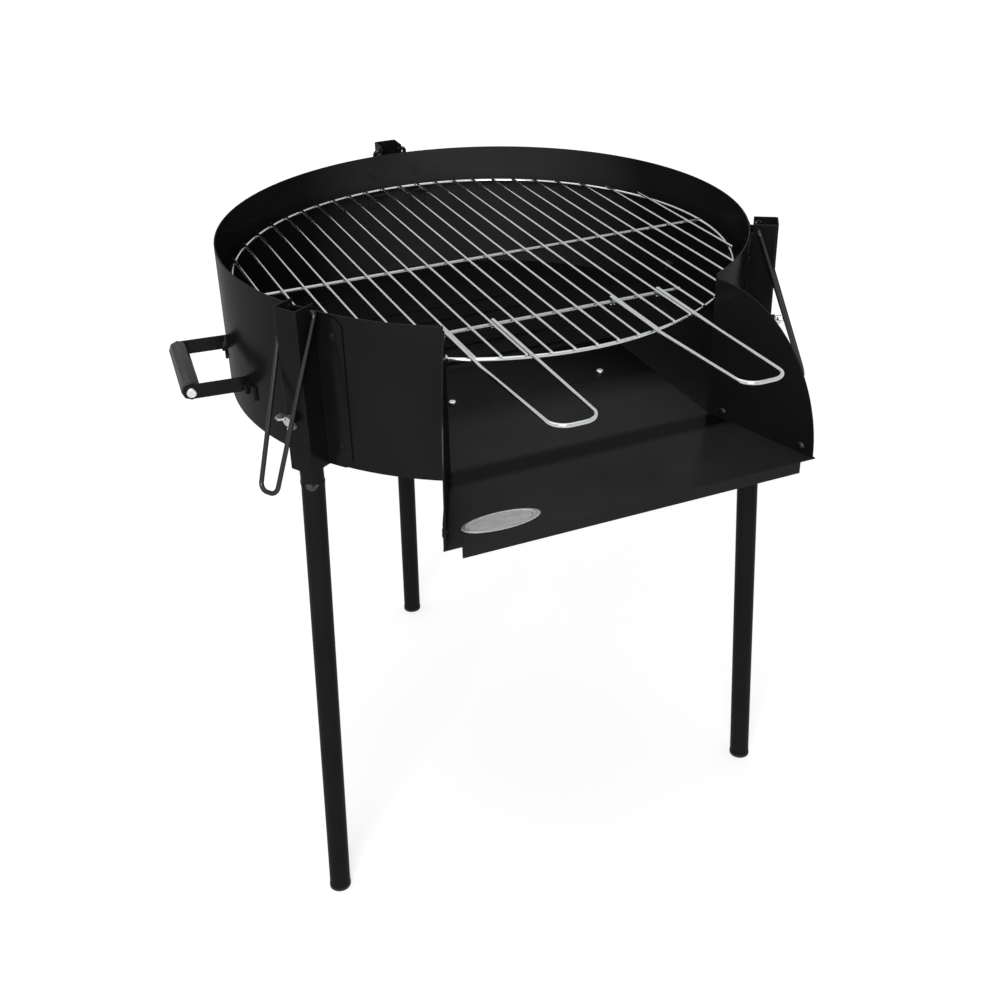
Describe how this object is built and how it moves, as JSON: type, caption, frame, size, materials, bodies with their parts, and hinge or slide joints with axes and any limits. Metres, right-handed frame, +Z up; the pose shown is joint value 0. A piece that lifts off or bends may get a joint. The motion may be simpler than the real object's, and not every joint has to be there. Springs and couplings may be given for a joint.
{
  "type": "paella grill",
  "caption": "Round open-fronted charcoal grill on splayed tube legs, with a lift-out wire grate, a front ash tray with cheeks, side handles and folding pan-support arms.",
  "frame": {"origin": "on the floor under the middle of the whole object's box", "axes": "+Z up, the open front faces -Y, +X to the right of someone facing the front from -Y"},
  "size_m": [0.7308, 0.8214, 0.7595],
  "materials": {
    "black_paint": "satin",
    "zinc_plate": "satin",
    "bright_wire": "polished",
    "stained_wood": "matte",
    "plate_metal": "brushed",
    "foot_plastic": "matte"
  },
  "bodies": {
    "stand": {"drum_wall": "black_paint", "drum_floor": "black_paint", "front_tray": "black_paint", "left_cheek": "black_paint", "right_cheek": "black_paint", "left_leg_bracket": "black_paint", "right_leg_bracket": "black_paint", "rear_leg_bracket": "black_paint", "bracket_rivets": "black_paint", "cheek_rivets": "black_paint", "clamp_nuts": "black_paint", "grate_rest_clips": "black_paint", "left_leg": "black_paint", "right_leg": "black_paint", "rear_leg": "black_paint", "left_handle_straps": "black_paint", "right_handle_straps": "black_paint", "strap_bolts": "black_paint", "tray_bolts": "zinc_plate", "tray_nuts": "zinc_plate", "grip_bolts": "zinc_plate", "grip_nuts": "zinc_plate", "strap_nuts": "zinc_plate", "left_grip": "stained_wood", "right_grip": "stained_wood", "nameplate": "plate_metal", "nameplate_rivets": "plate_metal", "left_foot": "foot_plastic", "right_foot": "foot_plastic", "rear_foot": "foot_plastic"},
    "grate": {"grate_ring": "bright_wire", "grate_bars": "bright_wire", "grate_rods": "bright_wire"},
    "left_grate_handle": {"left_grate_handle": "bright_wire"},
    "right_grate_handle": {"right_grate_handle": "bright_wire"},
    "left_pan_arm": {"left_pan_arm": "black_paint"},
    "left_clamp_screw": {"left_clamp_screw": "zinc_plate"},
    "right_pan_arm": {"right_pan_arm": "black_paint"},
    "right_clamp_screw": {"right_clamp_screw": "zinc_plate"},
    "rear_pan_arm": {"rear_pan_arm": "black_paint"},
    "rear_clamp_screw": {"rear_clamp_screw": "zinc_plate"}
  },
  "joints": [
    {"name": "grate_lift", "type": "slide", "parent": "stand", "child": "grate", "axis": [0, 0, 1], "range_m": [0, 0.2]},
    {"name": "left_grate_handle_fold", "type": "hinge", "parent": "grate", "child": "left_grate_handle", "pos_m": [-0.096, -0.15815, 0.709], "axis": [-1, 0, 0], "range_deg": [0, 170]},
    {"name": "right_grate_handle_fold", "type": "hinge", "parent": "grate", "child": "right_grate_handle", "pos_m": [0.096, -0.15815, 0.709], "axis": [-1, 0, 0], "range_deg": [0, 170]},
    {"name": "left_pan_arm_fold", "type": "hinge", "parent": "stand", "child": "left_pan_arm", "pos_m": [-0.26262, -0.13293, 0.753], "axis": [-0.527, 0.8499, 0], "range_deg": [0, 248.11]},
    {"name": "right_pan_arm_fold", "type": "hinge", "parent": "stand", "child": "right_pan_arm", "pos_m": [0.26262, -0.13293, 0.753], "axis": [-0.527, -0.8499, 0], "range_deg": [0, 250.11]},
    {"name": "rear_pan_arm_fold", "type": "hinge", "parent": "stand", "child": "rear_pan_arm", "pos_m": [0, 0.3389, 0.753], "axis": [1, 0, 0], "range_deg": [0, 248.11]},
    {"name": "left_clamp_screw_turn", "type": "hinge", "parent": "stand", "child": "left_clamp_screw", "pos_m": [-0.28047, -0.144, 0.644], "axis": [-0.8499, -0.527, 0], "continuous": true},
    {"name": "right_clamp_screw_turn", "type": "hinge", "parent": "stand", "child": "right_clamp_screw", "pos_m": [0.28047, -0.144, 0.644], "axis": [0.8499, -0.527, 0], "continuous": true},
    {"name": "rear_clamp_screw_turn", "type": "hinge", "parent": "stand", "child": "rear_clamp_screw", "pos_m": [0, 0.3599, 0.644], "axis": [0, 1, 0], "continuous": true}
  ]
}
